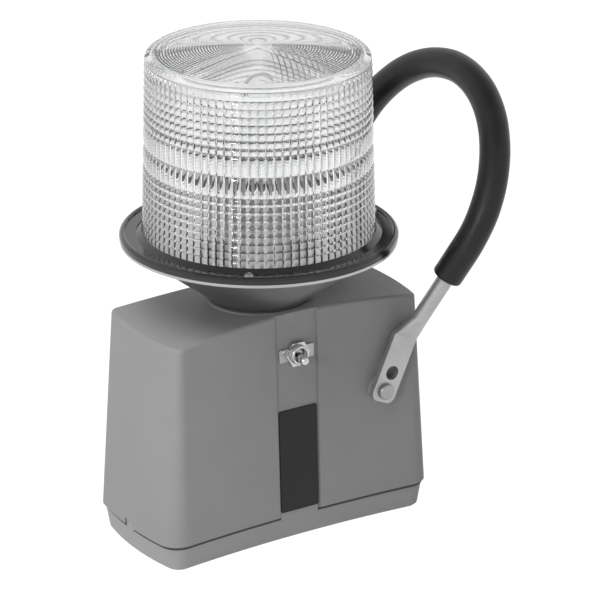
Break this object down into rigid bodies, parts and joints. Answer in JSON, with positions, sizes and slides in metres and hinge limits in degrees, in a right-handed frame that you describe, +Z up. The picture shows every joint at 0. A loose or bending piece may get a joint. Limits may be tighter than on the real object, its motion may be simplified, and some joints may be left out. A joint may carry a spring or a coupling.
{
  "type": "xenon strobe lamp",
  "caption": "Portable battery strobe lamp: clear fluted lens on a flared collar and a moulded battery case, with a toggle switch and a swinging carrying bail.",
  "frame": {"origin": "middle of the face that the lamp stands on, under the middle of the case", "axes": "+Z up through the lens, +X towards the end with the bail, -Y out of the front with the switch and the label plate"},
  "size_m": [0.2412, 0.1644, 0.3],
  "materials": {
    "case": "moulded grey plastic with a fine grain",
    "seal": "dark gasket rubber",
    "label": "black, bare of any marking",
    "battery": "printed jacket, left plain",
    "contact": "bright",
    "board": "laminate",
    "insulator": "moulded",
    "component": "moulded",
    "fastener": "plated",
    "plated": "bright plated",
    "spun_metal": "spun, with fine turning marks",
    "clamp_ring": "black satin paint",
    "lens": "clear moulded with rings and flutes",
    "tube_glass": "clear glass",
    "bail_metal": "satin tube",
    "foam": "black closed-cell foam"
  },
  "bodies": {
    "tray": {"base_cover": "case", "base_gasket": "seal", "battery_left": "battery", "battery_right": "battery", "terminal_springs": "contact"},
    "housing": {"body_shell": "case", "name_plate": "label", "contact_strips": "contact", "contact_board": "board", "circuit_board": "board", "board_spacers": "insulator", "board_screws": "fastener", "capacitor": "component", "transformer": "component", "switch_plate": "fastener", "switch_nut": "plated", "switch_bushing": "plated", "switch_body": "component", "switch_terminals": "contact", "switch_pin": "fastener", "switch_leads": "contact", "collar": "spun_metal", "collar_gasket": "seal", "collar_screws": "fastener", "mount_plate": "spun_metal", "lens_gasket": "seal", "flange": "clamp_ring", "flange_screws": "fastener", "lens": "lens", "tube_base": "component", "tube_caps": "plated", "flash_tube": "tube_glass", "trigger_coil": "component", "lamp_leads": "contact", "pivot_screws": "fastener", "pivot_washers": "insulator", "pivot_nuts": "fastener"},
    "switch_lever": {"switch_lever": "plated"},
    "bail": {"bail_frame": "bail_metal", "bail_grip": "foam"}
  },
  "joints": [
    {"name": "case_lift", "type": "slide", "parent": "tray", "child": "housing", "axis": [0, 0, 1], "range_m": [0, 0.11]},
    {"name": "switch_toggle", "type": "hinge", "parent": "housing", "child": "switch_lever", "pos_m": [0, -0.03508, 0.1185], "axis": [0, 0.0433, 0.9991], "range_deg": [0, 24]},
    {"name": "bail_swing", "type": "hinge", "parent": "housing", "child": "bail", "pos_m": [0.0567, 0, 0.0848], "axis": [0, 1, 0], "range_deg": [-19, 88]}
  ]
}
